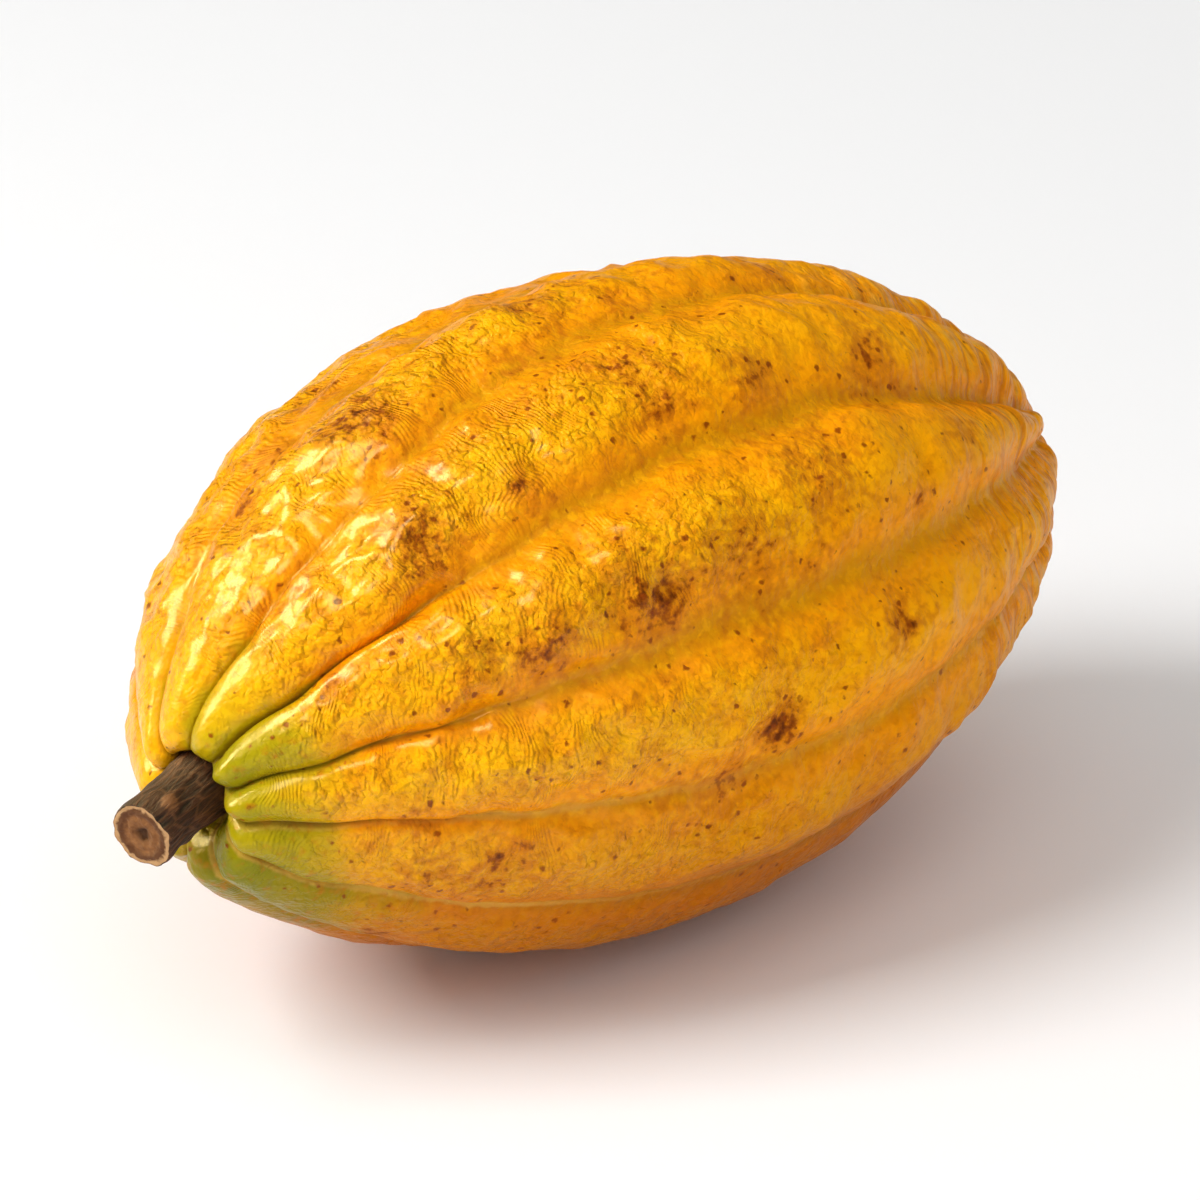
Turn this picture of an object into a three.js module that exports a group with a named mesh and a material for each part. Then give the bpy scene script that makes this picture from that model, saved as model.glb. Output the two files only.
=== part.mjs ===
// A ripe cacao pod as it was picked: the ribbed fruit and the cut woody stalk it hung from.
// Millimetres, +Z up. The pod lies on one rib along Y, with its stalk end towards -Y, and
// the origin is under the middle of its box, on the surface that it rests on.
import * as THREE from 'three';

// ---- Driving dimensions -------------------------------------------------------------------

// The rib crests lie on a spindle: radius = CREST_RADIUS * (u^a * (1 - u)^b) / its largest
// value, where u runs from 0 at the spindle's stalk end to 1 at the tip.
const SPINDLE_LENGTH = 171;
const CREST_RADIUS = 48;
const STALK_END_POWER = 0.628;
const TIP_POWER = 0.64;

// The stalk end is hollow: the ribs round over a rim and run down into a small cup.
const RIM_STATION = 0.028;
const RIM_ROUND = 3.8;
const CUP_DEPTH = 5.6;
const CUP_FLOOR_RADIUS = 5.6;
const FULL_FURROW_RADIUS = 10;     // furrows have their full depth outside this radius
const TIP_FADE_STATION = 0.87;     // and fade out between this station and the tip

// The stalk end hangs off the straight axis: its shift in X and Z, and how far along it reaches.
const DROOP = { x: 6.2, z: -5.4, reach: 0.14 };

// The ten furrows round the pod: place in degrees from the top towards +X, between the rounded
// rib ends (nose), just past them (stalkEnd), at mid-length (middle) and towards the tip; then the
// depth, how rounded the bottom of the valley is (0 is a sharp crease), and how far the end of the
// rib after the furrow stands out past the others.
const FURROWS = [
  { nose: -50, stalkEnd: -27, middle: -21, tip: -22, depth: 2.2, soft: 0.2, reach: 0 },
  { nose: -8, stalkEnd: 12, middle: 4, tip: 11, depth: 2.8, soft: 0.22, reach: 0.3 },
  { nose: 27, stalkEnd: 43, middle: 37, tip: 46, depth: 4, soft: 0.22, reach: 1.3 },
  { nose: 57, stalkEnd: 72, middle: 69, tip: 65, depth: 3.2, soft: 0.3, reach: 1 },
  { nose: 86, stalkEnd: 97, middle: 99, tip: 97, depth: 2.8, soft: 0.12, reach: 0.4 },
  { nose: 113, stalkEnd: 127, middle: 127, tip: 126, depth: 2.4, soft: 0.12, reach: 0 },
  { nose: 155, stalkEnd: 160, middle: 160, tip: 160, depth: 3.6, soft: 0.2, reach: 0 },
  { nose: 198, stalkEnd: 198, middle: 200, tip: 201, depth: 3.2, soft: 0.2, reach: 0 },
  { nose: 243, stalkEnd: 240, middle: 250, tip: 248, depth: 4, soft: 0.22, reach: 0 },
  { nose: 285, stalkEnd: 281, middle: 294, tip: 293, depth: 3.2, soft: 0.2, reach: 0 },
];
const NOSE_RUN = { from: 11, to: 30 };            // distance over the skin from the cup's middle
const STALK_END_SPAN = { from: 0.1, to: 0.42 };   // stations
const TIP_SPAN = { from: 0.6, to: 1 };
const NOSE_DEPTH = 2.7;                           // furrow depth between the rounded rib ends
const RIM_SOFT = 0.06;
const RIM_FULLNESS = 0.33;                        // below 1 the ribs are fat, with narrow creases
const SIDE_FULLNESS = 0.9;
const REACH_STATION = 0.12;

// The lowest rib is pressed flat by this much where the pod lies on it.
const FLAT_DEPTH = 1.2;

const STALK_RADIUS = 4.75;
const STALK_LENGTH = 15;
const STALK_DIRECTION = new THREE.Vector3(0.235, -0.964, -0.125).normalize();
const STALK_CLEARANCE = 1.8;   // along the stalk from the cup's floor to its end, so its edge keeps a gap

// How finely the pod is faceted: columns on each rib, rows over the rim and along the side.
const COLUMNS_PER_RIB = 10;
const RIM_ROWS = 7;
const SIDE_ROWS = 30;
const STALK_COLUMNS = 24;

// ---- Finishes -----------------------------------------------------------------------------

const HUSK = new THREE.MeshStandardMaterial({ color: '#f2a20c', roughness: 0.38, metalness: 0 });
const BARK = new THREE.MeshStandardMaterial({ color: '#553319', roughness: 0.85, metalness: 0 });

// ---- The pod's form -----------------------------------------------------------------------

const { lerp, smoothstep, degToRad } = THREE.MathUtils;

// The spindle's radius at station u.
function crestRadius(u) {
  const widest = STALK_END_POWER / (STALK_END_POWER + TIP_POWER);
  const shape = (s) => s ** STALK_END_POWER * (1 - s) ** TIP_POWER;
  return CREST_RADIUS * shape(u) / shape(widest);
}

// The rib crest's profile, from the middle of the cup's floor, over the rim and along the side
// to the tip. Each point has a radius, a place along Y, the outward normal of the profile and the
// run: its distance from the cup's middle along the profile.
function crestProfile() {
  const alongY = (u) => (u - 0.5) * SPINDLE_LENGTH;
  const step = 1e-4;
  const normalAt = (u) => {
    const rise = crestRadius(u + step) - crestRadius(u - step);
    return new THREE.Vector2(2 * step * SPINDLE_LENGTH, -rise).normalize();
  };
  const rimNormal = normalAt(RIM_STATION);
  const rimCentre = new THREE.Vector2(crestRadius(RIM_STATION), alongY(RIM_STATION))
    .addScaledVector(rimNormal, -RIM_ROUND);
  const mouth = rimCentre.x - RIM_ROUND;
  const floorY = rimCentre.y - RIM_ROUND + CUP_DEPTH;

  const down = new THREE.Vector2(0, -1);
  const inwards = new THREE.Vector2(-1, 0);
  const profile = [
    { radius: 0, y: floorY, normal: down },
    { radius: CUP_FLOOR_RADIUS / 2, y: floorY, normal: down },
    { radius: CUP_FLOOR_RADIUS, y: floorY, normal: down },
    { radius: lerp(CUP_FLOOR_RADIUS, mouth, 0.8), y: lerp(floorY, rimCentre.y, 0.35), normal: inwards },
  ];
  const rimEnd = Math.atan2(rimNormal.y, rimNormal.x);
  for (let i = 0; i < RIM_ROWS; i += 1) {
    const angle = lerp(-Math.PI, rimEnd, i / RIM_ROWS);
    const normal = new THREE.Vector2(Math.cos(angle), Math.sin(angle));
    const point = rimCentre.clone().addScaledVector(normal, RIM_ROUND);
    profile.push({ radius: point.x, y: point.y, normal });
  }
  // Rows stand closer together towards both ends, as the profile curves more there.
  const firstTurn = Math.acos(1 - 2 * RIM_STATION);
  for (let i = 0; i < SIDE_ROWS; i += 1) {
    const u = (1 - Math.cos(lerp(firstTurn, Math.PI, i / SIDE_ROWS))) / 2;
    profile.push({ radius: crestRadius(u), y: alongY(u), normal: normalAt(u) });
  }
  profile.push({ radius: 0, y: alongY(1), normal: new THREE.Vector2(0, 1) });
  profile.forEach((point, i) => {
    const before = profile[Math.max(i - 1, 0)];
    point.run = i === 0 ? 0 : before.run + Math.hypot(point.radius - before.radius, point.y - before.y);
  });
  return profile;
}

// The share of a furrow's full depth that it has at one point of the profile: none on the cup's
// floor, all of it along the side, and fading out at the tip.
function depthShare(point) {
  const u = point.y / SPINDLE_LENGTH + 0.5;
  const outsideCup = smoothstep(point.radius, CUP_FLOOR_RADIUS, FULL_FURROW_RADIUS);
  return outsideCup * Math.sqrt(1 - smoothstep(u, TIP_FADE_STATION, 1));
}

// How high the skin stands between two furrows, from 0 in a furrow to 1 on the rib's crest,
// where w runs from 0 to 1 across the rib.
function ribHeight(w, soft, fullness) {
  const wave = Math.sin(Math.PI * w);
  return ((Math.hypot(wave, soft) - soft) / (Math.hypot(1, soft) - soft)) ** fullness;
}

// Where a furrow runs at one point of the profile, in degrees. Nearness is 1 between the rib ends.
function furrowCourse(furrow, u, nearness) {
  const nearStalk = 1 - smoothstep(u, STALK_END_SPAN.from, STALK_END_SPAN.to);
  const nearTip = smoothstep(u, TIP_SPAN.from, TIP_SPAN.to);
  const course = furrow.middle + (furrow.stalkEnd - furrow.middle) * nearStalk
    + (furrow.tip - furrow.middle) * nearTip;
  return lerp(course, furrow.nose, nearness);
}

// Where the skin is at one point of the profile, on the given column round the pod.
function skinPoint(point, column) {
  const rib = Math.floor(column / COLUMNS_PER_RIB) % FURROWS.length;
  const w = (column % COLUMNS_PER_RIB) / COLUMNS_PER_RIB;
  const near = FURROWS[rib];
  const next = FURROWS[(rib + 1) % FURROWS.length];
  const u = point.y / SPINDLE_LENGTH + 0.5;
  const nearness = 1 - smoothstep(point.run, NOSE_RUN.from, NOSE_RUN.to);

  const start = furrowCourse(near, u, nearness);
  const width = THREE.MathUtils.euclideanModulo(furrowCourse(next, u, nearness) - start, 360);
  const angle = degToRad(start + w * width);
  const side = smoothstep(w, 0, 1);
  const soft = lerp(RIM_SOFT, lerp(near.soft, next.soft, side), smoothstep(u, 0.05, 0.3));
  const fullness = lerp(RIM_FULLNESS, SIDE_FULLNESS, smoothstep(u, 0.06, 0.4));
  const depth = lerp(lerp(near.depth, next.depth, side), NOSE_DEPTH, nearness) * depthShare(point);
  const sunk = depth * (1 - ribHeight(w, soft, fullness));

  const outsideCup = smoothstep(point.radius, CUP_FLOOR_RADIUS, FULL_FURROW_RADIUS);
  const reach = near.reach * Math.sin(Math.PI * w) ** 2 * outsideCup
    * (1 - smoothstep(u, 0, REACH_STATION));
  const radius = Math.max(point.radius - sunk * point.normal.x, 0);
  const droop = Math.max(0, 1 - u / DROOP.reach) ** 2;
  return new THREE.Vector3(
    radius * Math.sin(angle) + DROOP.x * droop,
    point.y - sunk * point.normal.y - reach,
    radius * Math.cos(angle) + DROOP.z * droop,
  );
}

// The fruit: a lathed profile whose every point is moved onto the ribbed skin, then pressed
// flat where it rests.
function makePod(profile) {
  const columns = COLUMNS_PER_RIB * FURROWS.length;
  const outline = profile.map((point) => new THREE.Vector2(point.radius, point.y));
  const geometry = new THREE.LatheGeometry(outline, columns);
  const position = geometry.getAttribute('position');
  for (let column = 0; column <= columns; column += 1) {
    profile.forEach((point, row) => {
      const { x, y, z } = skinPoint(point, column % columns);
      position.setXYZ(column * profile.length + row, x, y, Math.max(z, FLAT_DEPTH - CREST_RADIUS));
    });
  }
  geometry.computeVertexNormals();
  const pod = new THREE.Mesh(geometry, HUSK);
  pod.name = 'pod';
  return pod;
}

// The stalk: a short woody peg, a little swollen where it joins the fruit and at the cut.
function makeStem(floorCentre) {
  const outline = [
    [0, 0], [0.98, 0], [1.06, 0.06], [1.02, 0.2], [0.96, 0.45], [0.97, 0.7], [1.02, 0.9],
    [1.0, 0.98], [0.93, 1], [0, 1],
  ].map(([across, along]) => new THREE.Vector2(across * STALK_RADIUS, along * STALK_LENGTH));
  const stem = new THREE.Mesh(new THREE.LatheGeometry(outline, STALK_COLUMNS), BARK);
  stem.name = 'stem';
  stem.quaternion.setFromUnitVectors(new THREE.Vector3(0, 1, 0), STALK_DIRECTION);
  stem.position.copy(floorCentre).addScaledVector(STALK_DIRECTION, STALK_CLEARANCE);
  return stem;
}

// ---- The whole object ---------------------------------------------------------------------

const profile = crestProfile();
const cacaoPod = new THREE.Group();
cacaoPod.add(makePod(profile), makeStem(skinPoint(profile[0], 0)));

// Stand the pod on the surface, with the origin under the middle of its box.
const box = new THREE.Box3().setFromObject(cacaoPod, true);
const underMiddle = box.getCenter(new THREE.Vector3()).setZ(box.min.z);
cacaoPod.children.forEach((mesh) => mesh.position.sub(underMiddle));

export default cacaoPod;
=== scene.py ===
"""A ripe cacao pod lying on its side: the ribbed, waxy husk and the short cut stalk it hung from.

The husk is one closed surface worked out on a grid: rows run from the bottom of the cup round the
stalk, over its rim and along the pod to the tip, and columns run round the ten ribs. The stalk is a
second closed surface. Sizes are in millimetres until a mesh is made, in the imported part's own frame.
"""

import itertools
import logging
from dataclasses import astuple, dataclass, field
from enum import Enum

import bpy
import numpy as np
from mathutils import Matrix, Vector


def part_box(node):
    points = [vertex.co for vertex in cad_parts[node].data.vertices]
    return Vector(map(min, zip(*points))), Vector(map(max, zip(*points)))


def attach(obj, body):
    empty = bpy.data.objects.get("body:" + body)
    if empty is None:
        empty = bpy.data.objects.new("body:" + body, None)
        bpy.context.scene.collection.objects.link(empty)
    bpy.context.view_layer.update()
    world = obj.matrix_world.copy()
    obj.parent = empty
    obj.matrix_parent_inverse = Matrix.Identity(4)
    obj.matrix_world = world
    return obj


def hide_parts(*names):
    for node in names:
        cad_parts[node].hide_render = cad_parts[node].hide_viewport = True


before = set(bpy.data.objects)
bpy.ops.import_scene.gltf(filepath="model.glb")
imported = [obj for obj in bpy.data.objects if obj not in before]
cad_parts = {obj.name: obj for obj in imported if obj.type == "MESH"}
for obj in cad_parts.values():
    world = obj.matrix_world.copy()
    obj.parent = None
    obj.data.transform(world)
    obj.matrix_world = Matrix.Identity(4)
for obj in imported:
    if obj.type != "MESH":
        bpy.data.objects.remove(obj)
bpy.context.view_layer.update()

MM = 0.001
LOG = logging.getLogger("cacao_pod")

Colour = tuple[float, float, float, float]
Sockets = dict[str, bpy.types.NodeSocket]


def smoothstep(x: np.ndarray, low: float, high: float) -> np.ndarray:
    """Rises smoothly from 0 at low to 1 at high.

    Args:
        x: The values to read.
        low: Where the rise begins. It may be above high, for a fall.
        high: Where the rise ends.

    Returns:
        3t^2 - 2t^3, with t the share of the way from low to high, held between 0 and 1.
    """
    t = np.clip((x - low) / (high - low), 0.0, 1.0)
    return t * t * (3.0 - 2.0 * t)


def mix(a: np.ndarray | float, b: np.ndarray | float, share: np.ndarray | float) -> np.ndarray:
    """Returns the value that is the given share of the way from a to b."""
    return a + (b - a) * share


def linear(code: str) -> Colour:
    """Turns an sRGB colour code into the linear colour that a shader socket takes.

    Args:
        code: Six hex digits after a hash.

    Returns:
        Linear red, green, blue and an alpha of 1.
    """
    srgb = np.array([int(code[i : i + 2], 16) for i in (1, 3, 5)]) / 255.0
    value = np.where(srgb <= 0.04045, srgb / 12.92, ((srgb + 0.055) / 1.055) ** 2.4)
    return (*value.tolist(), 1.0)


def per_metre(size: float) -> float:
    """Turns a pattern's size in millimetres into the scale of a texture on Object coordinates."""
    return 1.0 / (size * MM)


class Noise:
    """Smooth gradient noise in space, the same on every run."""

    def __init__(self, seed: int) -> None:
        """Draws the lattice's order and slopes.

        Args:
            seed: The number that the draw starts from.
        """
        rng = np.random.default_rng(seed)
        self.order = np.tile(rng.permutation(256), 3)
        slopes = rng.normal(size=(256, 3))
        self.slopes = slopes / np.linalg.norm(slopes, axis=1, keepdims=True)

    def at(self, points: np.ndarray, size: float | tuple[float, float, float] = 1.0) -> np.ndarray:
        """Reads the noise.

        Each lattice corner round a point gives its slope times the way to the point, and the eight
        are blended with the fifth-power fade.

        Args:
            points: Places, with X, Y and Z last.
            size: The length of one lattice cell, the same for all axes or one for each.

        Returns:
            Values from about -1 to 1, one for each place.
        """
        scaled = points / np.asarray(size)
        cell = np.floor(scaled).astype(int)
        inside = scaled - cell
        fade = inside**3 * (inside * (inside * 6.0 - 15.0) + 10.0)
        total = np.zeros(points.shape[:-1])
        for corner in itertools.product((0, 1), repeat=3):
            x, y, z = np.moveaxis((cell + corner) % 256, -1, 0)
            slope = self.slopes[self.order[self.order[self.order[x] + y] + z]]
            weight = np.where(corner, fade, 1.0 - fade).prod(axis=-1)
            total += weight * ((inside - corner) * slope).sum(axis=-1)
        return 1.6 * total

    def layers(self, points: np.ndarray, size: float, count: int, fall: float = 0.5) -> np.ndarray:
        """Sums the noise at ever smaller sizes.

        Args:
            points: Places, with X, Y and Z last.
            size: The largest cell. Each next one is half the size.
            count: How many sizes are summed.
            fall: Each layer's strength as a share of the one before.

        Returns:
            The sum of the layers.
        """
        shifts = 37.3 * np.arange(count)
        return sum(fall**i * self.at(points + shifts[i], size / 2**i) for i in range(count))


@dataclass
class Skin:
    """A closed surface on a grid, before it becomes a mesh.

    The first and the last row are single points: the surface closes there.

    Attributes:
        points: Places in millimetres, by row, column and axis.
        values: Named numbers or vectors at each place, by row and column.
    """

    points: np.ndarray
    values: dict[str, np.ndarray] = field(default_factory=dict)

    def normals(self) -> np.ndarray:
        """Works out the outward direction at each place.

        The cross product of the step round the surface and the step along it.

        Returns:
            Unit vectors, by row, column and axis.
        """
        along = np.gradient(self.points, axis=0)
        around = np.roll(self.points, -1, axis=1) - np.roll(self.points, 1, axis=1)
        cross = np.cross(around, along)
        length = np.linalg.norm(cross, axis=-1, keepdims=True)
        unit = cross / np.maximum(length, 1e-12)
        unit[0] = unit[1].mean(axis=0) / np.linalg.norm(unit[1].mean(axis=0))
        unit[-1] = unit[-2].mean(axis=0) / np.linalg.norm(unit[-2].mean(axis=0))
        return unit

    def flat(self, grid: np.ndarray) -> np.ndarray:
        """Lists a grid's values in the mesh's vertex order, with one for each closing row."""
        middle = grid[1:-1].reshape(-1, *grid.shape[2:])
        return np.concatenate([grid[:1].mean(axis=1), middle, grid[-1:].mean(axis=1)])

    def build(self, name: str, materials: list[bpy.types.Material]) -> bpy.types.Object:
        """Makes the mesh object, smooth-shaded and closed, with the values as attributes.

        Args:
            name: The object's name.
            materials: The materials, in slot order. A value named "slot" picks one for each face.

        Returns:
            The linked object.
        """
        rows, columns = self.points.shape[:2]
        column = np.arange(columns)
        after = (column + 1) % columns
        start = 1 + np.arange(rows - 3)[:, None] * columns
        quads = np.stack(
            [start + column, start + after, start + columns + after, start + columns + column], axis=-1
        )
        last = 1 + (rows - 2) * columns
        first_fan = np.stack([np.zeros_like(column), 1 + after, 1 + column], axis=-1)
        last_ring = last - columns
        last_fan = np.stack([last_ring + column, last_ring + after, np.full_like(column, last)], axis=-1)
        faces = [*first_fan.tolist(), *quads.reshape(-1, 4).tolist(), *last_fan.tolist()]

        mesh = bpy.data.meshes.new(name)
        mesh.from_pydata((self.flat(self.points) * MM).tolist(), [], faces)
        mesh.polygons.foreach_set("use_smooth", np.ones(len(faces), dtype=bool))
        for key, grid in self.values.items():
            if key == "slot":
                slots = np.concatenate([grid[0], grid[1:-2].ravel(), grid[-2]]).astype(np.int32)
                mesh.polygons.foreach_set("material_index", slots)
            elif grid.ndim == 3:
                layer = mesh.attributes.new(key, "FLOAT_VECTOR", "POINT")
                layer.data.foreach_set("vector", self.flat(grid).astype(np.float32).ravel())
            else:
                layer = mesh.attributes.new(key, "FLOAT", "POINT")
                layer.data.foreach_set("value", self.flat(grid).astype(np.float32))
        for material in materials:
            mesh.materials.append(material)
        mesh.validate()
        mesh.update()
        thing = bpy.data.objects.new(name, mesh)
        bpy.context.scene.collection.objects.link(thing)
        return thing


@dataclass(frozen=True)
class Rib:
    """One rib and the furrow before it. Angles are in degrees from the top towards +X.

    Attributes:
        nose: Where its furrow runs between the rounded rib ends.
        stalk_end: Where its furrow runs past the rib ends.
        middle: Where its furrow runs along the middle.
        tip: Where its furrow runs towards the tip.
        depth: How far below the rib crests its furrow lies at mid-length.
        soft: How rounded the furrow's bottom is. 0 is a crease.
        reach: How far the rib's end stands out past the others at the stalk end.
        green: How green the rib still is at the stalk end, from 0 to 1.
        cork: How much pale cork lines its furrow, from 0 to 1.
    """

    nose: float
    stalk_end: float
    middle: float
    tip: float
    depth: float
    soft: float
    reach: float
    green: float
    cork: float


@dataclass
class PodForm:
    """The pod's ribbed form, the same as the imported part's, worked out for whole grids at once."""

    spindle_length: float = 171.0
    crest_radius: float = 48.0
    stalk_end_power: float = 0.628
    tip_power: float = 0.640
    rim_station: float = 0.028
    rim_round: float = 3.8
    cup_depth: float = 5.6
    cup_floor_radius: float = 5.6
    full_furrow_radius: float = 10.0
    tip_fade_station: float = 0.87
    droop: tuple[float, float, float] = (6.2, 0.0, -5.4)
    droop_reach: float = 0.14
    nose_run: tuple[float, float] = (30.0, 11.0)
    nose_depth: float = 2.7
    stalk_end_span: tuple[float, float] = (0.42, 0.1)
    tip_span: tuple[float, float] = (0.6, 1.0)
    rim_soft: float = 0.06
    rim_fullness: float = 0.33
    side_fullness: float = 0.9
    reach_station: float = 0.12
    flat_depth: float = 1.2
    ribs: tuple[Rib, ...] = (
        Rib(-50.0, -27.0, -21.0, -22.0, 2.2, 0.20, 0.0, 0.5, 0.0),
        Rib(-8.0, 12.0, 4.0, 11.0, 2.8, 0.22, 0.3, 0.75, 0.0),
        Rib(27.0, 43.0, 37.0, 46.0, 4.0, 0.22, 1.3, 1.0, 0.0),
        Rib(57.0, 72.0, 69.0, 65.0, 3.2, 0.30, 1.0, 0.85, 0.1),
        Rib(86.0, 97.0, 99.0, 97.0, 2.8, 0.12, 0.4, 0.95, 0.6),
        Rib(113.0, 127.0, 127.0, 126.0, 2.4, 0.12, 0.0, 1.0, 1.0),
        Rib(155.0, 160.0, 160.0, 160.0, 3.6, 0.20, 0.0, 0.8, 1.0),
        Rib(198.0, 198.0, 200.0, 201.0, 3.2, 0.20, 0.0, 0.6, 0.5),
        Rib(243.0, 240.0, 250.0, 248.0, 4.0, 0.22, 0.0, 0.5, 0.3),
        Rib(285.0, 281.0, 294.0, 293.0, 3.2, 0.20, 0.0, 0.5, 0.2),
    )

    def spindle(self, station: np.ndarray) -> np.ndarray:
        """Works out the radius of the rib crests.

        It is u^a (1 - u)^b over its own largest value, times the crest radius.

        Args:
            station: Places u along the axis, from 0 at the stalk end to 1 at the tip.

        Returns:
            The radius at each place.
        """
        a, b = self.stalk_end_power, self.tip_power
        widest = a / (a + b)
        station = np.clip(station, 0.0, 1.0)
        return self.crest_radius * station**a * (1 - station) ** b / (widest**a * (1 - widest) ** b)

    def profile(self, rows: int) -> tuple[np.ndarray, np.ndarray, np.ndarray, np.ndarray]:
        """Draws a rib crest's outline from the middle of the cup's floor, over the rim, to the tip.

        The rim is an arc that leaves the spindle tangentially and turns in until it faces the axis.
        The cup's wall runs from there to its flat floor. The outline is drawn finely and then cut
        into steps, which are shorter over the rim and at the tip.

        Args:
            rows: How many points the outline gets.

        Returns:
            Radius, place along Y, unit normal (radius and Y last) and run from the cup's middle.
        """
        fine = 400
        u = (1 - np.cos(np.linspace(np.arccos(1 - 2 * self.rim_station), np.pi, 12 * fine))) / 2
        side = np.stack([self.spindle(u), (u - 0.5) * self.spindle_length], axis=-1)
        tangent = side[1] - side[0]
        tangent /= np.linalg.norm(tangent)
        rim_normal = np.array([tangent[1], -tangent[0]])
        centre = side[0] - self.rim_round * rim_normal
        turn = np.linspace(-np.pi, np.arctan2(rim_normal[1], rim_normal[0]), fine, endpoint=False)
        rim = centre + self.rim_round * np.stack([np.cos(turn), np.sin(turn)], axis=-1)
        floor_y = centre[1] - self.rim_round + self.cup_depth
        corner = np.array([self.cup_floor_radius, floor_y])
        floor = np.linspace([0.0, floor_y], corner, fine, endpoint=False)
        bow = np.linspace(0.0, 1.0, fine, endpoint=False)[:, None]
        knee = np.array([rim[0, 0], floor_y])
        wall = (1 - bow) ** 2 * corner + 2 * bow * (1 - bow) * knee + bow**2 * rim[0]
        line = np.concatenate([floor, wall, rim, side])

        step = np.linalg.norm(np.diff(line, axis=0), axis=1)
        run = np.concatenate([[0.0], np.cumsum(step)])
        pace = 1.0 + 1.2 * np.exp(-(((run - run[2 * fine]) / 14.0) ** 2))
        pace += 0.5 * np.exp(-(((run - run[-1]) / 20.0) ** 2))
        effort = np.concatenate([[0.0], np.cumsum(step * (pace[1:] + pace[:-1]) / 2)])
        even = np.interp(np.linspace(0.0, effort[-1], rows), effort, run)
        radius, along = (np.interp(even, run, line[:, k]) for k in (0, 1))
        d_radius, d_along = np.gradient(radius, even), np.gradient(along, even)
        normal = np.stack([d_along, -d_radius], axis=-1)
        normal /= np.linalg.norm(normal, axis=-1, keepdims=True)
        return radius, along, normal, even

    def skin(self, rows: int, columns_per_rib: int) -> Skin:
        """Works out the smooth ribbed skin, before lumps and wrinkles.

        Between two furrows the skin rises as a softened sine over its own largest value. Below the
        crest's outline it is sunk, along the outline's normal, by the furrow's depth times one minus
        that rise. Furrows turn towards both ends and are all equally deep between the rib ends. The
        stalk end hangs off the axis by the square of its nearness, and some rib ends stand out past
        the others there.

        Args:
            rows: Points from the cup's middle to the tip.
            columns_per_rib: Points across each rib.

        Returns:
            The skin, with the values station, run, rise, seam (millimetres from the nearest
            furrow), green and cork.
        """
        radius, along, normal, run = (part[:, None] for part in self.profile(rows))
        normal = normal[:, 0]
        count = len(self.ribs)
        column = np.arange(count * columns_per_rib)[None, :]
        rib, across = column // columns_per_rib, (column % columns_per_rib) / columns_per_rib
        after = (rib + 1) % count
        station = along / self.spindle_length + 0.5
        table = np.array([astuple(each) for each in self.ribs]).T
        nose, stalk_end, middle, tip, depth, soft, reach, green, cork = table

        near_nose = smoothstep(run, *self.nose_run)
        near_stalk = smoothstep(station, *self.stalk_end_span)
        near_tip = smoothstep(station, *self.tip_span)
        course = middle + (stalk_end - middle) * near_stalk + (tip - middle) * near_tip
        course = mix(course, nose, near_nose)
        start = np.take_along_axis(course, rib + 0 * station.astype(int), axis=1)
        end = np.take_along_axis(course, after + 0 * station.astype(int), axis=1)
        width = (end - start) % 360.0
        turn = start + across * width
        angle = np.radians(turn)
        side = smoothstep(across, 0.0, 1.0)
        on_side = smoothstep(station, 0.05, 0.3)
        softness = mix(self.rim_soft, mix(soft[rib], soft[after], side), on_side)
        wave = np.sin(np.pi * across)
        rise = (np.hypot(wave, softness) - softness) / (np.hypot(1.0, softness) - softness)
        rise = rise ** mix(self.rim_fullness, self.side_fullness, smoothstep(station, 0.06, 0.4))
        outside_cup = smoothstep(radius, self.cup_floor_radius, self.full_furrow_radius)
        share = outside_cup * np.sqrt(1 - smoothstep(station, self.tip_fade_station, 1.0))
        sunk = mix(mix(depth[rib], depth[after], side), self.nose_depth, near_nose) * share * (1 - rise)

        r = np.maximum(radius - sunk * normal[:, :1], 0.0)
        shift = np.clip(1 - station / self.droop_reach, 0, None)[..., None] ** 2 * np.array(self.droop)
        y = along - sunk * normal[:, 1:]
        y = y - reach[rib] * wave**2 * outside_cup * smoothstep(station, self.reach_station, 0.0)
        points = np.stack([r * np.sin(angle), y, r * np.cos(angle)], axis=-1) + shift
        grid = np.ones_like(r)
        from_before = 1 - smoothstep(across, -0.3, 0.3)
        from_after = 1 - smoothstep(across, 1.3, 0.7)
        blended = green[rib] + from_before * (green[rib - 1] - green[rib])
        blended = blended + from_after * (green[after] - green[rib])
        values = {
            "station": station * grid,
            "run": run * grid,
            "rise": rise,
            "seam": np.minimum(across, 1 - across) * np.radians(width) * radius,
            "green": blended * grid,
            "cork": np.where(across < 0.5, cork[rib], cork[after]) * grid,
        }
        return Skin(points, values)


def spelled(key: str) -> str:
    """Spells a keyword as its shader input: specular_ior_level gives Specular IOR Level."""
    return key.replace("_", " ").title().replace("Ior", "IOR")


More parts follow.
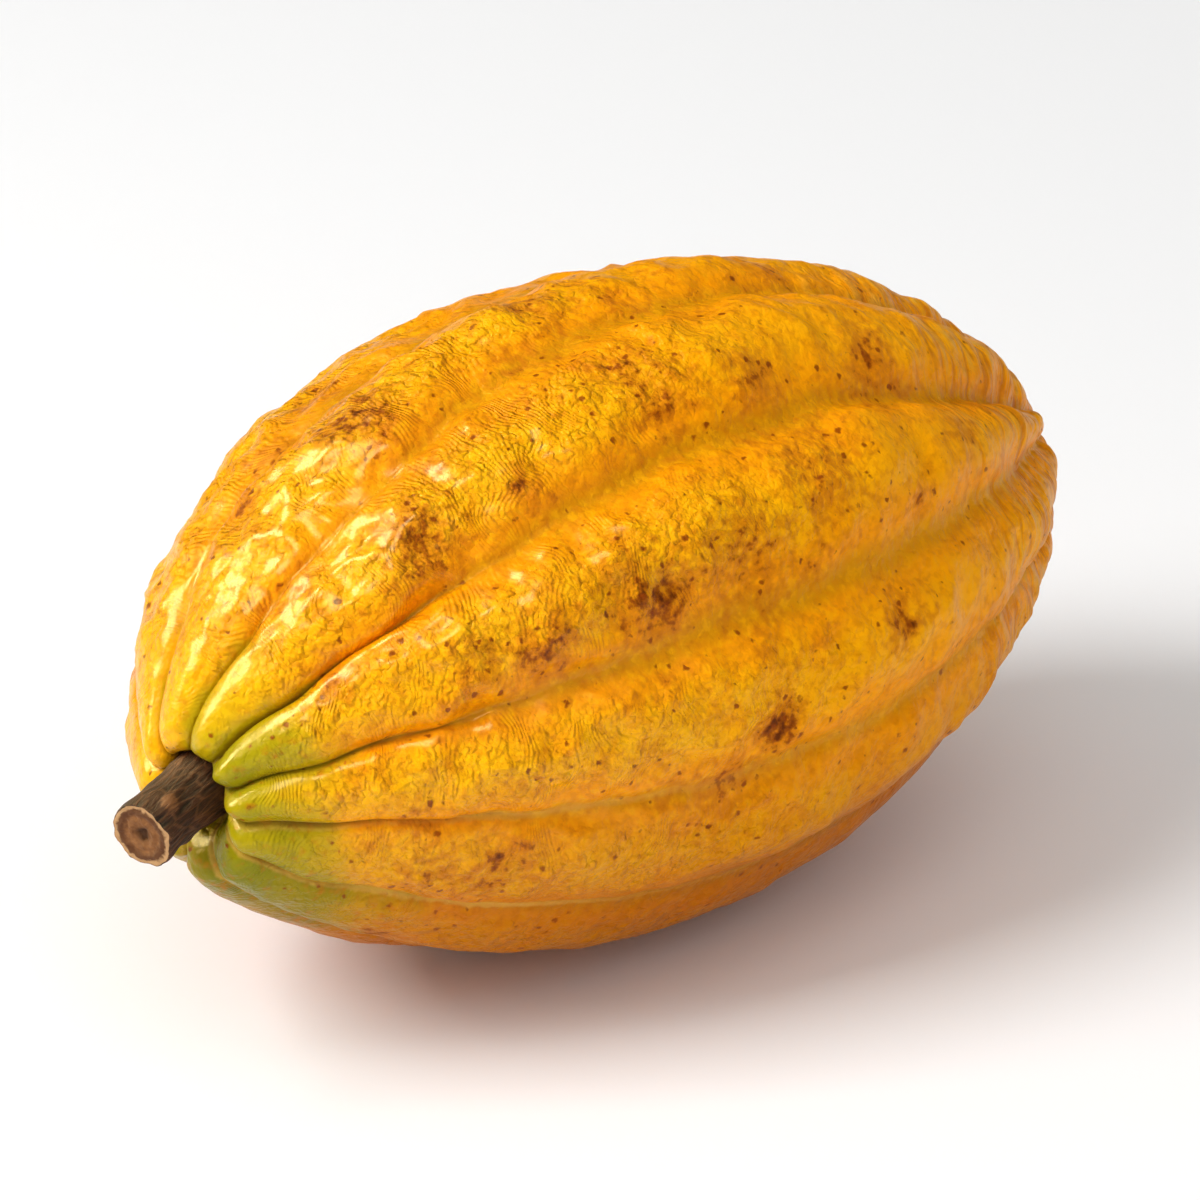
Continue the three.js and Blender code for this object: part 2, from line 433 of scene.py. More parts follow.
class Recipe:
    """A material, or the world, while its nodes are being wired."""

    def __init__(
        self,
        block: bpy.types.Material | bpy.types.World,
        shader: str = "Principled BSDF",
        **numbers: float,
    ) -> None:
        """Switches the nodes on and sets what is the same all over.

        Args:
            block: The new material or world.
            shader: The name of its shader node.
            **numbers: The shader's own inputs, with underscores for spaces.
        """
        block.use_nodes = True
        self.block = block
        self.tree = block.node_tree
        self.shader = self.tree.nodes[shader]
        for key, value in numbers.items():
            self.shader.inputs[spelled(key)].default_value = value

    def add(
        self, kind: str, sockets: dict[str, object] | None = None, output: str = "", **settings: object
    ) -> bpy.types.NodeSocket:
        """Adds a node with its settings and links.

        Args:
            kind: The node's type, without its leading "ShaderNode".
            sockets: Input names, each with a number, a colour or another node's output. Inputs that
                share a name take a tuple of values, in their order.
            output: Which output is wanted. The first one in use, if this is empty.
            **settings: The node's own properties.

        Returns:
            The wanted output.
        """
        node = self.tree.nodes.new(f"ShaderNode{kind}")
        for key, value in settings.items():
            setattr(node, key, value)
        for key, value in (sockets or {}).items():
            named = [socket for socket in node.inputs if socket.enabled and socket.name == key]
            for socket, each in zip(named, value if len(named) > 1 else [value], strict=False):
                if isinstance(each, bpy.types.NodeSocket):
                    self.tree.links.new(each, socket)
                else:
                    socket.default_value = each
        return next(socket for socket in node.outputs if socket.enabled and output in ("", socket.name))

    def finish(self, **results: bpy.types.NodeSocket) -> bpy.types.Material | bpy.types.World:
        """Links the results to the shader.

        Args:
            **results: The shader's inputs, with underscores for spaces, and what feeds each.

        Returns:
            The finished material or world.
        """
        for key, value in results.items():
            self.tree.links.new(value, self.shader.inputs[spelled(key)])
        return self.block


@dataclass(frozen=True)
class WaxyHusk:
    """The ripe husk: thick living rind under its own natural wax.

    The wax gives cream highlights that fine ripples break into stripes. The rind is yellow on the
    crests, deeper orange on the flanks and ochre in the furrows, partly its own tone and partly painted
    light on the crests and painted shade down the flanks; it is green where it ripened last, and
    freckled and scuffed with brown cork. Painted shade also darkens its lower side, the creases between
    the rib ends and the cup round the stalk, and the folds round the tip have painted reflection on
    their ridges and painted shade in their troughs.
    """

    gleam: str = "#FFD27A"
    crest: str = "#FFB706"
    ochre_and_shaded_crest: str = "#FAA904"
    flank: str = "#F89B03"
    furrow: str = "#CE8C07"
    painted_shade: str = "#BBA189"
    freckle: str = "#DE8504"
    lime: str = "#C9AC0C"
    green: str = "#838609"
    halo: str = "#C4690A"
    bruise: str = "#8C3C05"
    scab_and_cup_shade: str = "#521E04"
    cork: str = "#DCAC4C"
    crease: str = "#7A4708"
    patch_size: float = 8.0
    swirl_size: float = 1.1
    swirl_reach: float = 1.2
    freckle_size: float = 1.5
    speck_spacing: float = 2.0
    pinhole_spacing: float = 1.4
    scuff_size: float = 1.6
    ripple_height: float = 0.065
    fold_size: float = 9.0
    fold_pitch: float = 1.6
    fold_height: float = 0.8
    grain_height: float = 0.08
    dimple_size: float = 3.0
    shallow_dimple_height: float = 0.9
    dimple_height: float = 3.2

    def material(self) -> bpy.types.Material:
        """Wires the husk's colour, roughness and fine relief.

        Returns:
            The material.
        """
        wax = Recipe(
            bpy.data.materials.new("ripe_waxy_husk"),
            ior=1.45, specular_ior_level=0.08, coat_roughness=0.2, coat_ior=1.45,
        )
        wax.shader.inputs["Specular Tint"].default_value = linear(self.gleam)
        at = self.patterns(wax)
        colour = self.rind(wax, at)
        for layer in (self.tip_folds, self.unripe_green, self.bruises, self.specks, self.cork_lines):
            colour = layer(wax, at, colour)
        dull = wax.add("Math", {"Value": (at["torn"], at["corky"])}, operation="ADD")
        rough = wax.add(
            "MapRange", {"Value": dull, "From Min": 0.9, "From Max": 1.6, "To Min": 0.32, "To Max": 0.6}
        )
        normal = self.fine_relief(wax, at)
        return wax.finish(base_color=colour, roughness=rough, normal=normal, coat_weight=at["waxed"])

    def patterns(self, wax: Recipe) -> Sockets:
        """Adds the skin's own values and the noises that the layers share.

        Args:
            wax: The material.

        Returns:
            Outputs by name. Besides the skin's values they are swirled (the place, stirred), the
            noises patch, grain, scuff and fold, and how torn and how corky the skin is.
        """
        names = (
            "rise", "seam", "green", "cork", "stain", "ripple", "rippled", "wrinkled", "cup", "scar",
            "creased", "waxed", "crumpled", "ground", "sunny",
        )
        at = {name: wax.add("Attribute", output="Fac", attribute_name=name) for name in names}
        place = wax.add("TexCoord", output="Object")
        swirl = {"Vector": place, "Scale": per_metre(self.swirl_size)}
        swirl = wax.add("TexNoise", swirl, output="Color")
        stirred = {"Vector": (swirl, (self.swirl_reach * MM,) * 3, place)}
        at["swirled"] = wax.add("VectorMath", stirred, operation="MULTIPLY_ADD")
        for name, size, detail in (
            ("patch", self.patch_size, 3.0),
            ("grain", self.freckle_size, 2.0),
            ("scuff", self.scuff_size, 3.0),
        ):
            at[name] = wax.add("TexNoise", {"Vector": place, "Scale": per_metre(size), "Detail": detail})

        # Folds round the tip: noise drawn out across the ribs.
        skin_place = wax.add("Attribute", output="Vector", attribute_name="skin_place")
        stretch = (1 / self.fold_size, 1 / self.fold_size, 1 / self.fold_pitch)
        drawn = wax.add("Mapping", {"Vector": skin_place, "Scale": stretch})
        fold = {"Vector": drawn, "Scale": 1.0, "Detail": 2.0, "Distortion": 0.6}
        at["fold"] = wax.add("TexNoise", fold)

        torn = wax.add("Math", {"Value": (at["scuff"], 2.0, at["stain"])}, operation="MULTIPLY_ADD")
        torn = wax.add("Math", {"Value": (at["patch"], 0.8, torn)}, operation="MULTIPLY_ADD")
        at["torn"] = wax.add("Math", {"Value": (torn, 0.67)}, operation="SUBTRACT")

        edge = wax.add("Math", {"Value": (at["scuff"], 0.9, at["seam"])}, operation="MULTIPLY_ADD")
        corky = wax.add("MapRange", {"Value": edge, "From Min": 1.35, "From Max": 1.0, "To Max": 0.6})
        corky = wax.add("Math", {"Value": (corky, at["cork"])}, operation="MULTIPLY")
        at["corky"] = wax.add("Math", {"Value": (corky, at["scar"])}, operation="MAXIMUM")
        return at

    def rind(self, wax: Recipe, at: Sockets) -> bpy.types.NodeSocket:
        """Colours the rind by how far down a rib's flank a place is, stirred by the large patches.

        The crests are brightest in the stalk's half and on the upper side: partly the rind's own tone,
        partly painted light. The deeper orange flanks and ochre furrows are partly painted shade.

        Args:
            wax: The material.
            at: Its patterns.

        Returns:
            The colour.
        """
        # Partly painted shade: the colour deepens to orange down each flank.
        depth = wax.add("Math", {"Value": (at["rise"], -0.9, at["patch"])}, operation="MULTIPLY_ADD")
        warm = wax.add(
            "MapRange", {"Value": depth, "From Min": -0.66, "From Max": 0.12},
            interpolation_type="SMOOTHSTEP",
        )
        # Painted light: the crests are brighter in the stalk's half and on the upper side, duller low down.
        tints = {"Factor": at["sunny"], "A": linear(self.ochre_and_shaded_crest), "B": linear(self.crest)}
        sunny = wax.add("Mix", tints, data_type="RGBA")
        colour = wax.add("Mix", {"Factor": warm, "A": sunny, "B": linear(self.flank)}, data_type="RGBA")
        low = wax.add(
            "MapRange", {"Value": at["rise"], "From Min": 0.4, "From Max": 0.0, "To Max": 0.7},
            interpolation_type="SMOOTHSTEP",
        )
        freckled = {"Value": at["grain"], "From Min": 0.5, "From Max": 0.62, "To Max": 0.45}
        bright = {"Value": at["grain"], "From Min": 0.46, "From Max": 0.36, "To Max": 0.35}
        for share, tint in (
            # Partly painted shade: the furrow bottoms darken to ochre.
            (low, linear(self.furrow)),
            (wax.add("MapRange", freckled), linear(self.freckle)),
            (wax.add("MapRange", bright), sunny),
        ):
            colour = wax.add("Mix", {"Factor": share, "A": colour, "B": tint}, data_type="RGBA")
        return colour

    def tip_folds(self, wax: Recipe, at: Sockets, colour: bpy.types.NodeSocket) -> bpy.types.NodeSocket:
        """Lines the folds round the tip: paler along their ridges and browner in their troughs.

        The pale ridges are partly cork and partly painted reflection; the brown troughs are painted shade.

        Args:
            wax: The material.
            at: Its patterns.
            colour: The colour so far.

        Returns:
            The colour with the folds.
        """
        # Pale ridges: partly cork, partly painted reflection. Brown troughs: painted shade.
        for start, end, most, tint in ((0.54, 0.64, 0.38, self.cork), (0.47, 0.38, 0.6, self.halo)):
            share = wax.add(
                "MapRange", {"Value": at["fold"], "From Min": start, "From Max": end, "To Max": most}
            )
            share = wax.add("Math", {"Value": (share, at["wrinkled"])}, operation="MULTIPLY")
            colour = wax.add("Mix", {"Factor": share, "A": colour, "B": linear(tint)}, data_type="RGBA")
        return colour

    def unripe_green(self, wax: Recipe, at: Sockets, colour: bpy.types.NodeSocket) -> bpy.types.NodeSocket:
        """Leaves green where the fruit ripened last, most of it low on the flanks of the ribs.

        Painted shade darkens the lower side.

        Args:
            wax: The material.
            at: Its patterns.
            colour: The colour so far.

        Returns:
            The colour with the green and the painted shade.
        """
        unripe = wax.add("Math", {"Value": (at["patch"], 0.7, at["green"])}, operation="MULTIPLY_ADD")
        unripe = wax.add("Math", {"Value": (at["rise"], -0.25, unripe)}, operation="MULTIPLY_ADD")
        for start, end, most, tint in ((0.48, 0.85, 0.8, self.lime), (0.6, 1.25, 0.9, self.green)):
            share = wax.add(
                "MapRange", {"Value": unripe, "From Min": start, "From Max": end, "To Max": most}
            )
            colour = wax.add("Mix", {"Factor": share, "A": colour, "B": linear(tint)}, data_type="RGBA")
        # Painted shade: the lower side is multiplied darker.
        painted_shade_share = wax.add("Math", {"Value": (at["ground"], 0.9)}, operation="MULTIPLY")
        tints = {"Factor": painted_shade_share, "A": colour, "B": linear(self.painted_shade)}
        return wax.add("Mix", tints, data_type="RGBA", blend_type="MULTIPLY")

    def bruises(self, wax: Recipe, at: Sockets, colour: bpy.types.NodeSocket) -> bpy.types.NodeSocket:
        """Bruises the torn skin: an orange-brown halo, a brown body and dark scabs, each one tighter.

        Args:
            wax: The material.
            at: Its patterns.
            colour: The colour so far.

        Returns:
            The colour with the bruises.
        """
        for start, end, most, tint in (
            (0.85, 1.3, 0.6, self.halo), (1.38, 1.62, 0.8, self.bruise), (1.66, 1.9, 0.8, self.scab_and_cup_shade),
        ):
            share = wax.add(
                "MapRange", {"Value": at["torn"], "From Min": start, "From Max": end, "To Max": most}
            )
            colour = wax.add("Mix", {"Factor": share, "A": colour, "B": linear(tint)}, data_type="RGBA")
        return colour

    def specks(self, wax: Recipe, at: Sockets, colour: bpy.types.NodeSocket) -> bpy.types.NodeSocket:
        """Adds specks and pinholes: a ragged dot in some of the cells, more of them in a stain.

        Args:
            wax: The material.
            at: Its patterns.
            colour: The colour so far.

        Returns:
            The colour with the dots.
        """
        clump = wax.add("Math", {"Value": (at["patch"], 0.5)}, operation="SUBTRACT")
        for spacing, crowding, chosen, radius, tint in (
            (self.speck_spacing, 0.45, 0.48, 0.28, self.bruise),
            (self.pinhole_spacing, 0.1, 0.75, 0.2, self.halo),
        ):
            cells = {"Vector": at["swirled"], "Scale": per_metre(spacing)}
            distance = wax.add("TexVoronoi", cells)
            draw = wax.add("TexVoronoi", cells, output="Color")
            draw = wax.add("Math", {"Value": (at["stain"], crowding, draw)}, operation="MULTIPLY_ADD")
            draw = wax.add("Math", {"Value": (clump, 0.7, draw)}, operation="MULTIPLY_ADD")
            size = wax.add(
                "MapRange", {"Value": draw, "From Min": chosen, "From Max": 0.95, "To Max": radius}
            )
            inside = wax.add("Math", {"Value": (size, distance)}, operation="SUBTRACT")
            dot = wax.add("MapRange", {"Value": inside, "From Min": -0.04, "From Max": 0.1, "To Max": 0.9})
            colour = wax.add("Mix", {"Factor": dot, "A": colour, "B": linear(tint)}, data_type="RGBA")
        return colour

    def cork_lines(self, wax: Recipe, at: Sockets, colour: bpy.types.NodeSocket) -> bpy.types.NodeSocket:
        """Runs pale cork beside some furrows and paints shade as a dark crease between the rib ends.

        The scar at the tip is cork too, and painted shade darkens the cup round the stalk.

        Args:
            wax: The material.
            at: Its patterns.
            colour: The colour so far.

        Returns:
            The finished colour.
        """
        # Painted shade: a thin dark line down the furrows between the rib ends.
        crease = {"Value": at["seam"], "From Min": 0.5, "From Max": 0.1, "To Max": 0.55}
        crease = wax.add("MapRange", crease)
        crease = wax.add("Math", {"Value": (crease, at["creased"])}, operation="MULTIPLY")
        # Painted shade: the cup round the stalk is darkened with the scab colour.
        for share, tint in ((at["corky"], self.cork), (crease, self.crease), (at["cup"], self.scab_and_cup_shade)):
            colour = wax.add("Mix", {"Factor": share, "A": colour, "B": linear(tint)}, data_type="RGBA")
        return colour

    def fine_relief(self, wax: Recipe, at: Sockets) -> bpy.types.NodeSocket:
        """Adds up the fine relief in millimetres: grain, dimples, ripples and folds round the tip.

        Args:
            wax: The material.
            at: Its patterns.

        Returns:
            The bumped normal.
        """
        relief = wax.add("Math", {"Value": (at["grain"], self.grain_height)}, operation="MULTIPLY")
        dimple = {"Vector": at["swirled"], "Scale": per_metre(self.dimple_size), "Detail": 2.0}
        dimple = wax.add("TexNoise", dimple)
        dimple = wax.add("Math", {"Value": (dimple, 0.5)}, operation="SUBTRACT")
        dimple = wax.add("Math", {"Value": dimple}, operation="ABSOLUTE")
        deep = {"Value": at["crumpled"], "To Min": self.shallow_dimple_height, "To Max": self.dimple_height}
        deep = wax.add("MapRange", deep)
        relief = wax.add("Math", {"Value": (dimple, deep, relief)}, operation="MULTIPLY_ADD")
        turns = wax.add("Math", {"Value": (at["ripple"], 2 * np.pi)}, operation="MULTIPLY")
        wave = wax.add("Math", {"Value": turns}, operation="SINE")
        wave = wax.add("Math", {"Value": (wave, at["rippled"])}, operation="MULTIPLY")
        relief = wax.add("Math", {"Value": (wave, self.ripple_height, relief)}, operation="MULTIPLY_ADD")
        fold = wax.add("Math", {"Value": (at["fold"], at["wrinkled"])}, operation="MULTIPLY")
        relief = wax.add("Math", {"Value": (fold, self.fold_height, relief)}, operation="MULTIPLY_ADD")
        return wax.add("Bump", {"Height": relief, "Strength": 1.0, "Distance": MM})


@dataclass(frozen=True)
class Bark:
    """The stalk's dry bark: dull, dark brown and fissured lengthwise, with paler ridges."""

    fissure: str = "#1E0C05"
    body: str = "#4A2712"
    ridge: str = "#83522B"
    fissure_width: float = 0.8
    fissure_length: float = 4.5
    plate_size: tuple[float, float, float] = (1.5, 1.5, 5.5)
    grain_height: float = 0.9

    def material(self) -> bpy.types.Material:
        """Wires the bark. Its pattern runs along the stalk's own length.

        Returns:
            The material.
        """
        bark = Recipe(bpy.data.materials.new("dry_fissured_bark"), ior=1.5, specular_ior_level=0.35)
        own_place = bark.add("Attribute", output="Vector", attribute_name="own_place")
        stretch = (1 / self.fissure_width, 1 / self.fissure_width, 1 / self.fissure_length)
        drawn = bark.add("Mapping", {"Vector": own_place, "Scale": stretch})
        fibre = bark.add("TexNoise", {"Vector": drawn, "Scale": 1.0, "Detail": 4.0, "Roughness": 0.62})
        relief = bark.add("Attribute", output="Fac", attribute_name="relief")
        height = bark.add("Math", {"Value": (relief, 0.45, fibre)}, operation="MULTIPLY_ADD")
        share = bark.add("MapRange", {"Value": height, "From Min": 0.36, "From Max": 0.58})
        tints = {"Factor": share, "A": linear(self.fissure), "B": linear(self.body)}
        colour = bark.add("Mix", tints, data_type="RGBA")
        share = bark.add("MapRange", {"Value": height, "From Min": 0.62, "From Max": 0.76})
        colour = bark.add("Mix", {"Factor": share, "A": colour, "B": linear(self.ridge)}, data_type="RGBA")
        plate_stretch = [1 / size for size in self.plate_size]
        plates = bark.add("Mapping", {"Vector": own_place, "Scale": plate_stretch})
        split = bark.add("TexVoronoi", {"Vector": plates, "Scale": 1.0}, feature="DISTANCE_TO_EDGE")
        split = bark.add("MapRange", {"Value": split, "From Min": 0.08, "From Max": 0.02, "To Max": 0.3})
        colour = bark.add("Mix", {"Factor": split, "A": colour, "B": linear(self.ridge)}, data_type="RGBA")
        normal = bark.add("Bump", {"Height": fibre, "Strength": 1.0, "Distance": self.grain_height * MM})
        bark.shader.inputs["Roughness"].default_value = 0.72
        return bark.finish(base_color=colour, normal=normal)


@dataclass(frozen=True)
class CutWood:
    """The stalk's cut end: dull fibrous wood round a dark pith, in a pale torn ring of bark."""

    pith: str = "#47280F"
    heart: str = "#9A6537"
    ring: str = "#5F371B"
    rim: str = "#B58A5C"
    fibre_size: float = 0.7

    def material(self) -> bpy.types.Material:
        """Wires the cut wood by its distance from the pith.

        Returns:
            The material.
        """
        wood = Recipe(bpy.data.materials.new("cut_stalk_wood"), ior=1.5, specular_ior_level=0.3)
        own_place = wood.add("Attribute", output="Vector", attribute_name="own_place")
        outward = wood.add("Attribute", output="Fac", attribute_name="outward")
        fibre = wood.add("TexNoise", {"Vector": own_place, "Scale": 1 / self.fibre_size, "Detail": 3.0})
        reach = wood.add("Math", {"Value": (fibre, 0.22, outward)}, operation="MULTIPLY_ADD")
        tints = {"Factor": fibre, "A": linear(self.heart), "B": linear(self.ring)}
        colour = wood.add("Mix", tints, data_type="RGBA")
        for start, end, tint in ((0.42, 0.28, self.pith), (0.68, 0.86, self.ring), (0.97, 1.04, self.rim)):
            share = wood.add("MapRange", {"Value": reach, "From Min": start, "From Max": end})
            colour = wood.add("Mix", {"Factor": share, "A": colour, "B": linear(tint)}, data_type="RGBA")
        normal = wood.add("Bump", {"Height": fibre, "Strength": 1.0, "Distance": 0.3 * MM})
        wood.shader.inputs["Roughness"].default_value = 0.8
        return wood.finish(base_color=colour, normal=normal)


@dataclass(frozen=True)
class PaperFloor:
    """The studio's seamless paper: matt and almost white."""

    tint: str = "#FCFCFC"
    cloud_size: float = 150.0

    def material(self) -> bpy.types.Material:
        """Wires the paper. Its roughness changes a little over a hand's width.

        Returns:
            The material.
        """
        paper = Recipe(bpy.data.materials.new("seamless_paper"), ior=1.45, specular_ior_level=0.1)
        place = paper.add("TexCoord", output="Object")
        cloud = paper.add("TexNoise", {"Vector": place, "Scale": per_metre(self.cloud_size), "Detail": 1.0})
        rough = paper.add("MapRange", {"Value": cloud, "To Min": 0.85, "To Max": 0.95})
        paper.shader.inputs["Base Color"].default_value = linear(self.tint)
        return paper.finish(roughness=rough)


@dataclass(frozen=True)
class WhiteRoom:
    """The studio's walls and ceiling: white all round, and dimmer overhead, for a soft even fill."""

    wall_strength: float = 1.0
    ceiling_strength: float = 0.4
    wall_top: float = 0.08
    ceiling_edge: float = 0.22

    def world(self) -> bpy.types.World:
        """Wires the room's light by how high a direction points, from 0 at the horizon to 1 overhead.

        Returns:
            The world.
        """
        room = Recipe(bpy.data.worlds.new("white_room"), "Background", color=(1.0, 1.0, 1.0, 1.0))
        direction = room.add("TexCoord", output="Generated")
        height = room.add("SeparateXYZ", {"Vector": direction}, output="Z")
        rise = {"Value": height, "From Min": self.wall_top, "From Max": self.ceiling_edge}
        ends = {"To Min": self.wall_strength, "To Max": self.ceiling_strength}
        return room.finish(strength=room.add("MapRange", rise | ends))


@dataclass(frozen=True)
class Blotch:
    """A cluster of brown spots on the skin.

    Attributes:
        station: Its place from 0 at the stalk end to 1 at the tip.
        rib: Its place round the pod: which rib, counted from 0, plus the share of the way across it.
        size: Its half-width in millimetres.
        strength: How dark it is, from 0 to 1.
    """

    station: float
    rib: float
    size: float
    strength: float


@dataclass
class Husk:
    """The fruit: the ribbed form with its lumps, wrinkles and marks.

    Once it is built, middle is where the form's own origin lies, and cup_floor is the middle of the
    cup's floor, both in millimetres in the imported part's frame.
    """

    form: PodForm = field(default_factory=PodForm)
    rows: int = 270
    columns_per_rib: int = 36
    wander_turn: float = 1.1
    lump_size: float = 12.0
    lump_height: float = 1.1
    puff_size: float = 8.0
    puff_height: float = 1.5
    knob_size: float = 5.0
    knob_height: float = 0.5
    crumple_size: float = 3.4
    crumple_height: float = 0.4
    ripple_pitch: float = 0.95
    fold_height: float = 0.55
    fold_cell: tuple[float, float, float] = (9.0, 9.0, 2.6)
    scar_radius: float = 2.6
    scar_rises: tuple[tuple[float, float], ...] = ((1.1, 1.5), (-0.9, 3.6))
    ground_fade: tuple[float, float] = (-32.0, -8.0)
    stray_blotches: int = 60
    seed: int = 11
    blotches: tuple[Blotch, ...] = (
        Blotch(0.35, 2.7, 7.0, 1.0),
        Blotch(0.45, 2.7, 9.0, 0.6),
        Blotch(0.55, 2.4, 8.0, 0.55),
        Blotch(0.25, 2.8, 5.5, 0.7),
        Blotch(0.2, 2.6, 5.0, 0.6),
        Blotch(0.1, 2.2, 3.4, 0.6),
        Blotch(0.75, 2.4, 3.4, 0.65),
        Blotch(0.2, 1.6, 6.0, 0.8),
        Blotch(0.25, 1.25, 6.0, 0.5),
        Blotch(0.3, 1.75, 3.0, 0.9),
        Blotch(0.45, 1.75, 4.6, 0.75),
        Blotch(0.45, 1.5, 6.5, 0.65),
        Blotch(0.55, 1.75, 5.0, 0.8),
        Blotch(0.7, 1.75, 5.0, 0.8),
        Blotch(0.25, 0.5, 7.0, 0.8),
        Blotch(0.45, 0.5, 7.0, 0.65),
        Blotch(0.6, 3.4, 4.0, 0.85),
        Blotch(0.45, 3.75, 4.0, 0.85),
        Blotch(0.4, 4.0, 5.0, 0.8),
        Blotch(0.2, 4.6, 5.0, 0.7),
        Blotch(0.15, 4.5, 5.0, 0.6),
    )

    def stain(self, skin: Skin, noise: Noise) -> np.ndarray:
        """Adds up the blotches, named and stray.

        Each falls off as exp(-(distance / size)^2) from its middle, with the places first moved by
        up to about 2 mm of noise, so that no blotch is round.

        Args:
            skin: The skin that they lie on.
            noise: The noise that moves them.

        Returns:
            How stained each place is, from 0 to 1.
        """
        rng = np.random.default_rng(self.seed)
        strays = [
            Blotch(*rng.uniform((0.08, 0.0, 2.0, 0.35), (0.95, len(self.form.ribs), 6.0, 0.7)))
            for _ in range(self.stray_blotches)
        ]
        jitter = [noise.at(skin.points + offset, 4.0) for offset in (0.0, 31.7, 67.1)]
        moved = skin.points + 1.8 * np.stack(jitter, axis=-1)
        total = np.zeros(skin.points.shape[:2])
        for blotch in (*self.blotches, *strays):
            row = np.abs(skin.values["station"][:, 0] - blotch.station).argmin()
            middle = skin.points[row, int(blotch.rib * self.columns_per_rib)]
            distance = np.linalg.norm(moved - middle, axis=-1)
            total = np.maximum(total, blotch.strength * np.exp(-((distance / blotch.size) ** 2)))
        return total

    def meander(self, skin: Skin, noise: Noise) -> None:
        """Makes the furrows meander: noise turns each place a little round the pod's axis.

        Args:
            skin: The smooth skin, which is changed.
            noise: The noise that turns it.
        """
        swing = noise.at(skin.points + 90.0, self.lump_size)
        swing += 0.4 * noise.at(skin.points + 50.0, self.knob_size)
        turn = np.radians(self.wander_turn) * swing * smoothstep(skin.values["station"], 0.06, 0.2)
        x, z = skin.points[..., 0].copy(), skin.points[..., 2].copy()
        skin.points[..., 0] = x * np.cos(turn) + z * np.sin(turn)
        skin.points[..., 2] = z * np.cos(turn) - x * np.sin(turn)

    def mark(self, skin: Skin, noise: Noise) -> None:
        """Gives the skin the values that the husk's finish reads.

        Ripples are counted in waves along the run, swayed by a slow and a quick noise. They and the
        crumples lie on the crests of the stalk's half, and the wrinkles lie round the tip.

        Args:
            skin: The smooth skin, which gains the values.
            noise: The noise that sways the ripples and breaks them into patches.
        """
        points, value = skin.points, skin.values
        station, rise, run = value["station"], value["rise"], value["run"]
        up = points[..., 2]
        to_tip = run[-1] - run

        patches = smoothstep(noise.at(points + 11.0, 9.0), -0.45, 0.1)
        value["ripple"] = run / self.ripple_pitch + 4.5 * noise.at(points, 8.0)
        value["ripple"] += 1.3 * noise.at(points, 3.5)
        value["rippled"] = smoothstep(rise, 0.0, 0.6) * smoothstep(run, 14.0, 24.0)
        value["rippled"] *= smoothstep(station, 0.55, 0.3)
        value["rippled"] *= patches * smoothstep(up, *self.ground_fade)
        value["crumpled"] = smoothstep(rise, 0.35, 0.95) * smoothstep(station, 0.02, 0.09)
        value["crumpled"] *= smoothstep(station, 0.66, 0.3)
        value["crumpled"] *= mix(0.3, 1.0, smoothstep(up, -36.0, -6.0))
        value["skin_place"] = np.stack([points[..., 0], up, run], axis=-1)
        value["wrinkled"] = smoothstep(station, 0.66, 0.86) * smoothstep(to_tip, 0.0, 7.0)
        value["scar"] = smoothstep(to_tip, self.scar_radius, 0.6 * self.scar_radius)

        # How low a place lies; the finish darkens it there with painted shade.
        value["ground"] = smoothstep(up, 0.0, -36.0)
        # Painted light: the share of bright crest colour, less on the lower side.
        value["sunny"] = smoothstep(station, 0.7, 0.3) * (1.0 - 0.8 * value["ground"])
        value["waxed"] = mix(0.03, 0.36, smoothstep(station, 0.52, 0.22)) * mix(1.0, 0.1, value["ground"])
        # Painted shade in the cup round the stalk.
        value["cup"] = smoothstep(run, 8.0, 4.0)
        value["green"] = value["green"] * smoothstep(run, 46.0 + 24.0 * value["ground"], 14.0)
        value["green"] = value["green"] * (1.0 + 0.6 * value["ground"])
        # Painted shade along the furrow creases near the stalk, in patches.
        value["creased"] = smoothstep(run, 62.0, 26.0) * smoothstep(noise.at(points, 9.0), -0.5, 0.2)
        value["cork"] = value["cork"] * mix(0.25, 1.0, smoothstep(station, 0.4, 0.15))
        value["stain"] = self.stain(skin, noise)

    def relief(self, skin: Skin, noise: Noise) -> np.ndarray:
        """Works out how far the lumps and wrinkles lift the skin.

        Lumps, knobs and crumples are noise of falling size, held off the furrows and off the
        smooth rib ends. Puffs are noise folded at zero, which leaves creases between them. Folds
        round the tip are noise drawn out across the ribs, and the tip has a small scar: a dimple
        with a raised middle.

        Args:
            skin: The smooth skin, with its values.
            noise: The noise that shapes the relief.

        Returns:
            Heights in millimetres.
        """
        points, value = skin.points, skin.values
        station, run = value["station"], value["run"]
        on_rib = smoothstep(value["rise"], 0.0, 0.6)
        past_end = smoothstep(station, 0.04, 0.2)

        height = self.lump_height * noise.at(points, self.lump_size) * on_rib * mix(0.25, 1.0, past_end)
        puffs = 0.3 - np.abs(noise.at(points + 60.0, self.puff_size))
        height += self.puff_height * puffs * on_rib * past_end
        height += self.knob_height * noise.at(points, self.knob_size) * mix(0.2, 1.0, past_end)
        height += self.crumple_height * noise.layers(points, self.crumple_size, 2) * value["crumpled"]
        height *= mix(1.0, 0.6, smoothstep(station, 0.55, 0.8))

        stirred = value["skin_place"] + 3.0 * noise.at(points, 12.0)[..., None]
        height += self.fold_height * noise.at(stirred, self.fold_cell) * value["wrinkled"]
        to_tip = run[-1] - run
        for rise, radius in self.scar_rises:
            height += rise * np.exp(-((to_tip / radius) ** 2))
        lifted = mix(0.35, 1.0, smoothstep(points[..., 2], *self.ground_fade))
        return height * smoothstep(run, 6.0, 14.0) * lifted

